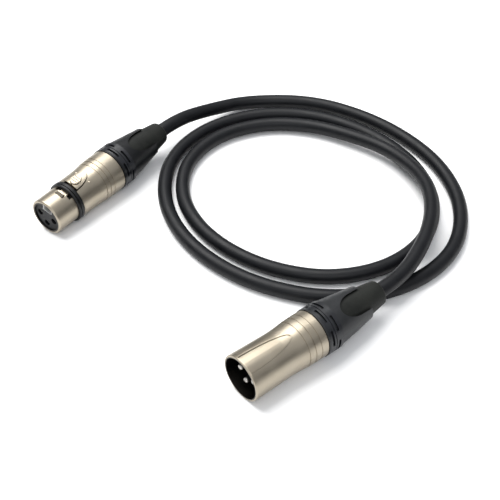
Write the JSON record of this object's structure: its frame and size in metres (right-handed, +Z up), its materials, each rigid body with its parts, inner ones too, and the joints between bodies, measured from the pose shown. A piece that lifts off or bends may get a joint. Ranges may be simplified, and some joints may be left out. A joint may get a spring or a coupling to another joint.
{
  "type": "microphone cable",
  "caption": "Short balanced microphone cable lying in loose turns, with a latching female line connector on one end and a male one on the other.",
  "frame": {"origin": "on the surface that it lies on, under the middle of the box round the two connectors", "axes": "+Z up; +X to the right and +Y away as the coil is seen with both connectors at its near left"},
  "size_m": [0.1833, 0.1903, 0.0198],
  "materials": {
    "cable": "matte soft PVC jacket",
    "satin_nickel": "satin nickel plate",
    "steel": "bright spring steel",
    "insert_black": "moulded glass-filled nylon",
    "black_rubber": "matte rubber",
    "ring_black": "satin moulded plastic",
    "chuck_plastic": "moulded acetal",
    "boot_charcoal": "fine matte texture",
    "boot_grey": "fine matte texture",
    "contact_silver": "silver plate",
    "bare_copper": "twisted bare copper",
    "core_red": "smooth insulation",
    "core_white": "smooth insulation"
  },
  "bodies": {
    "root": {"cable_jacket": "cable", "female_cable_end": "cable", "female_core_cold": "core_white", "female_core_hot": "core_red", "female_insert": "insert_black", "female_keyway_lining": "steel", "female_latch_pin": "steel", "female_latch_spring": "steel", "female_seal_ring": "black_rubber", "female_shell": "satin_nickel", "female_shield_tail": "bare_copper", "female_socket_1": "contact_silver", "female_socket_2": "contact_silver", "female_socket_3": "contact_silver", "male_cable_end": "cable", "male_core_cold": "core_white", "male_core_hot": "core_red", "male_ground_clip": "steel", "male_insert": "insert_black", "male_pin_1": "contact_silver", "male_pin_2": "contact_silver", "male_pin_3": "contact_silver", "male_shell": "satin_nickel", "male_shield_tail": "bare_copper"},
    "female_latch": {"female_latch_lever": "satin_nickel"},
    "female_collet": {"female_chuck": "chuck_plastic"},
    "female_cap": {"female_bushing": "ring_black", "female_slotted_ring": "ring_black", "female_boot": "boot_charcoal"},
    "male_collet": {"male_chuck": "chuck_plastic"},
    "male_cap": {"male_bushing": "ring_black", "male_slotted_ring": "ring_black", "male_boot": "boot_grey"}
  },
  "joints": [
    {"name": "female_latch_press", "type": "hinge", "parent": "root", "child": "female_latch", "pos_m": [-0.05089, 0.03347, 0.01686], "axis": [0.7823, -0.593, -0.1907], "range_deg": [0, 4], "stiffness_Nm_per_rad": 0.15, "springref_deg": -2.86, "deforming": ["female_latch_spring"]},
    {"name": "female_collet_slide", "type": "slide", "parent": "root", "child": "female_collet", "axis": [0.6085, 0.793, 0.0303], "range_m": [0, 0.003]},
    {"name": "female_bushing_turn", "type": "hinge", "parent": "female_collet", "child": "female_cap", "pos_m": [-0.04188, 0.04763, 0.0098], "axis": [0.6085, 0.793, 0.0303], "range_deg": [0, 720]},
    {"name": "male_collet_slide", "type": "slide", "parent": "root", "child": "male_collet", "axis": [0.7771, 0.6292, 0.0151], "range_m": [0, 0.003]},
    {"name": "male_bushing_turn", "type": "hinge", "parent": "male_collet", "child": "male_cap", "pos_m": [0.04211, -0.04886, 0.0098], "axis": [0.7771, 0.6292, 0.0151], "range_deg": [0, 720]}
  ],
  "couplings": [
    {"joint": "female_bushing_turn", "follows": "female_collet_slide", "rad_per_m": 4188.8},
    {"joint": "male_bushing_turn", "follows": "male_collet_slide", "rad_per_m": 4188.8}
  ]
}
